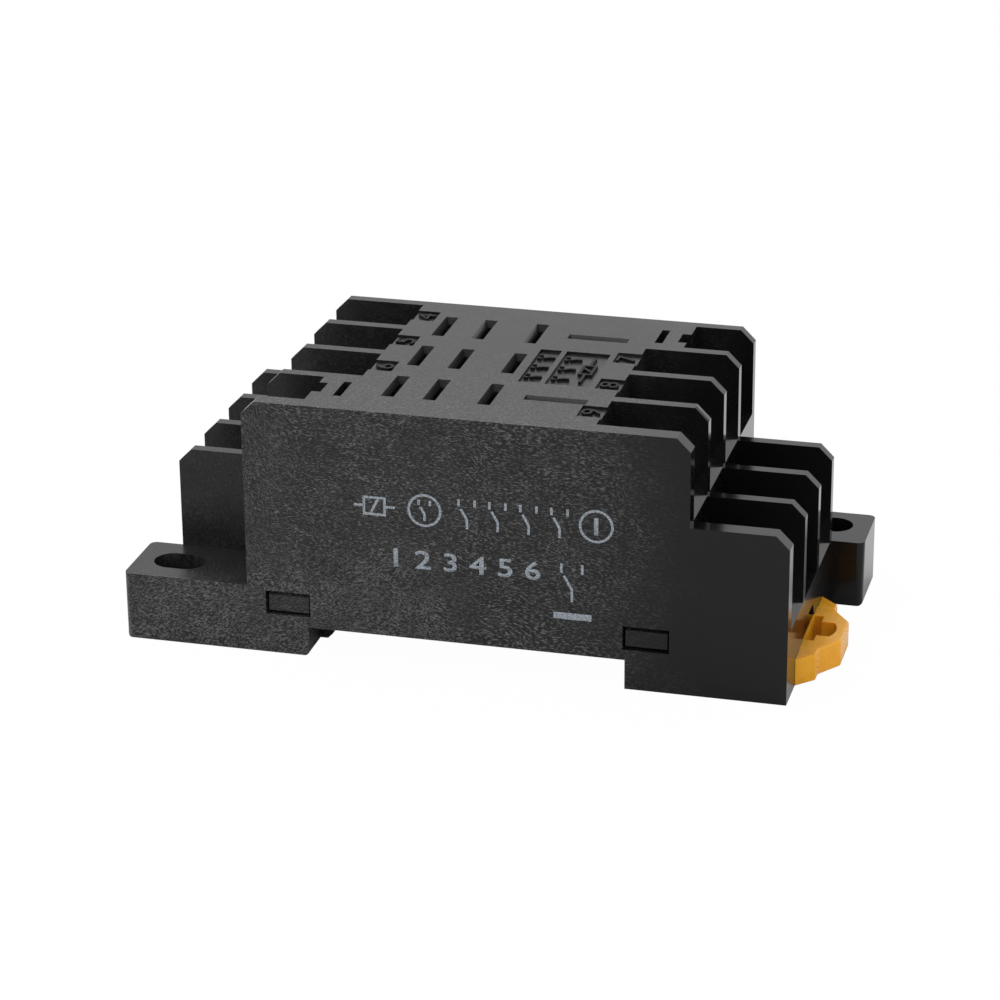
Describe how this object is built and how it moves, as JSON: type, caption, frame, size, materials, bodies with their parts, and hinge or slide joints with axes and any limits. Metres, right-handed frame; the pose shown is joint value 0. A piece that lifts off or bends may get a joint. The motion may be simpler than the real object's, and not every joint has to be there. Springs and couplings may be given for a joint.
{
  "type": "relay socket",
  "caption": "Two-tier screw-terminal socket for a plug-in control relay, with finned wire bays, bolt-down ears and a sprung clip for a mounting rail.",
  "frame": {"origin": "middle of the face that seats on the mounting rail", "axes": "+X along the socket towards the rail clip, +Y from the front wall to the back wall, +Z out of the rail towards the relay"},
  "size_m": [0.0785, 0.036, 0.0294],
  "materials": {
    "black_plastic": "satin, fibre-filled moulding",
    "amber_plastic": "semi-gloss moulding",
    "contact_brass": "stamped and lightly polished",
    "plated_steel": "zinc plated"
  },
  "bodies": {
    "socket": {"housing": "black_plastic", "base_plate": "black_plastic", "terminal_1": "contact_brass", "terminal_2": "contact_brass", "terminal_3": "contact_brass", "terminal_4": "contact_brass", "terminal_5": "contact_brass", "terminal_6": "contact_brass", "terminal_7": "contact_brass", "terminal_8": "contact_brass", "terminal_9": "contact_brass", "terminal_10": "contact_brass", "terminal_11": "contact_brass"},
    "rail_clip": {"rail_clip": "amber_plastic"},
    "clamp_1": {"clamp_washer_1": "plated_steel"},
    "clamp_2": {"clamp_washer_2": "plated_steel"},
    "clamp_3": {"clamp_washer_3": "plated_steel"},
    "clamp_4": {"clamp_washer_4": "plated_steel"},
    "clamp_5": {"clamp_washer_5": "plated_steel"},
    "clamp_6": {"clamp_washer_6": "plated_steel"},
    "clamp_7": {"clamp_washer_7": "plated_steel"},
    "clamp_8": {"clamp_washer_8": "plated_steel"},
    "clamp_9": {"clamp_washer_9": "plated_steel"},
    "clamp_10": {"clamp_washer_10": "plated_steel"},
    "clamp_11": {"clamp_washer_11": "plated_steel"},
    "screw_1": {"terminal_screw_1": "plated_steel"},
    "screw_2": {"terminal_screw_2": "plated_steel"},
    "screw_3": {"terminal_screw_3": "plated_steel"},
    "screw_4": {"terminal_screw_4": "plated_steel"},
    "screw_5": {"terminal_screw_5": "plated_steel"},
    "screw_6": {"terminal_screw_6": "plated_steel"},
    "screw_7": {"terminal_screw_7": "plated_steel"},
    "screw_8": {"terminal_screw_8": "plated_steel"},
    "screw_9": {"terminal_screw_9": "plated_steel"},
    "screw_10": {"terminal_screw_10": "plated_steel"},
    "screw_11": {"terminal_screw_11": "plated_steel"}
  },
  "joints": [
    {"name": "clip_pull", "type": "slide", "parent": "socket", "child": "rail_clip", "axis": [1, 0, 0], "range_m": [0, 0.0025], "stiffness_N_per_m": 3000},
    {"name": "clamp_lift_1", "type": "slide", "parent": "socket", "child": "clamp_1", "axis": [0, 0, 1], "range_m": [0, 0.0024]},
    {"name": "screw_spin_1", "type": "hinge", "parent": "clamp_1", "child": "screw_1", "pos_m": [-0.0299, -0.0039, 0.0067], "axis": [0, 0, 1], "range_deg": [0, 1440]},
    {"name": "clamp_lift_2", "type": "slide", "parent": "socket", "child": "clamp_2", "axis": [0, 0, 1], "range_m": [0, 0.0024]},
    {"name": "screw_spin_2", "type": "hinge", "parent": "clamp_2", "child": "screw_2", "pos_m": [-0.0299, 0.0046, 0.0067], "axis": [0, 0, 1], "range_deg": [0, 1440]},
    {"name": "clamp_lift_3", "type": "slide", "parent": "socket", "child": "clamp_3", "axis": [0, 0, 1], "range_m": [0, 0.0024]},
    {"name": "screw_spin_3", "type": "hinge", "parent": "clamp_3", "child": "screw_3", "pos_m": [-0.0299, 0.0131, 0.0067], "axis": [0, 0, 1], "range_deg": [0, 1440]},
    {"name": "clamp_lift_4", "type": "slide", "parent": "socket", "child": "clamp_4", "axis": [0, 0, 1], "range_m": [0, 0.0024]},
    {"name": "screw_spin_4", "type": "hinge", "parent": "clamp_4", "child": "screw_4", "pos_m": [-0.0192, 0.0131, 0.0182], "axis": [0, 0, 1], "range_deg": [0, 1440]},
    {"name": "clamp_lift_5", "type": "slide", "parent": "socket", "child": "clamp_5", "axis": [0, 0, 1], "range_m": [0, 0.0024]},
    {"name": "screw_spin_5", "type": "hinge", "parent": "clamp_5", "child": "screw_5", "pos_m": [-0.0192, 0.0046, 0.0182], "axis": [0, 0, 1], "range_deg": [0, 1440]},
    {"name": "clamp_lift_6", "type": "slide", "parent": "socket", "child": "clamp_6", "axis": [0, 0, 1], "range_m": [0, 0.0024]},
    {"name": "screw_spin_6", "type": "hinge", "parent": "clamp_6", "child": "screw_6", "pos_m": [-0.0192, -0.0039, 0.0182], "axis": [0, 0, 1], "range_deg": [0, 1440]},
    {"name": "clamp_lift_7", "type": "slide", "parent": "socket", "child": "clamp_7", "axis": [0, 0, 1], "range_m": [0, 0.0024]},
    {"name": "screw_spin_7", "type": "hinge", "parent": "clamp_7", "child": "screw_7", "pos_m": [0.0192, 0.0046, 0.0182], "axis": [0, 0, 1], "range_deg": [0, 1440]},
    {"name": "clamp_lift_8", "type": "slide", "parent": "socket", "child": "clamp_8", "axis": [0, 0, 1], "range_m": [0, 0.0024]},
    {"name": "screw_spin_8", "type": "hinge", "parent": "clamp_8", "child": "screw_8", "pos_m": [0.0192, -0.0039, 0.0182], "axis": [0, 0, 1], "range_deg": [0, 1440]},
    {"name": "clamp_lift_9", "type": "slide", "parent": "socket", "child": "clamp_9", "axis": [0, 0, 1], "range_m": [0, 0.0024]},
    {"name": "screw_spin_9", "type": "hinge", "parent": "clamp_9", "child": "screw_9", "pos_m": [0.0192, -0.0124, 0.0182], "axis": [0, 0, 1], "range_deg": [0, 1440]},
    {"name": "clamp_lift_10", "type": "slide", "parent": "socket", "child": "clamp_10", "axis": [0, 0, 1], "range_m": [0, 0.0024]},
    {"name": "screw_spin_10", "type": "hinge", "parent": "clamp_10", "child": "screw_10", "pos_m": [0.0299, 0.0046, 0.0067], "axis": [0, 0, 1], "range_deg": [0, 1440]},
    {"name": "clamp_lift_11", "type": "slide", "parent": "socket", "child": "clamp_11", "axis": [0, 0, 1], "range_m": [0, 0.0024]},
    {"name": "screw_spin_11", "type": "hinge", "parent": "clamp_11", "child": "screw_11", "pos_m": [0.0299, -0.0124, 0.0067], "axis": [0, 0, 1], "range_deg": [0, 1440]}
  ],
  "couplings": [
    {"joint": "screw_spin_1", "follows": "clamp_lift_1", "rad_per_m": 10472},
    {"joint": "screw_spin_2", "follows": "clamp_lift_2", "rad_per_m": 10472},
    {"joint": "screw_spin_3", "follows": "clamp_lift_3", "rad_per_m": 10472},
    {"joint": "screw_spin_4", "follows": "clamp_lift_4", "rad_per_m": 10472},
    {"joint": "screw_spin_5", "follows": "clamp_lift_5", "rad_per_m": 10472},
    {"joint": "screw_spin_6", "follows": "clamp_lift_6", "rad_per_m": 10472},
    {"joint": "screw_spin_7", "follows": "clamp_lift_7", "rad_per_m": 10472},
    {"joint": "screw_spin_8", "follows": "clamp_lift_8", "rad_per_m": 10472},
    {"joint": "screw_spin_9", "follows": "clamp_lift_9", "rad_per_m": 10472},
    {"joint": "screw_spin_10", "follows": "clamp_lift_10", "rad_per_m": 10472},
    {"joint": "screw_spin_11", "follows": "clamp_lift_11", "rad_per_m": 10472}
  ]
}
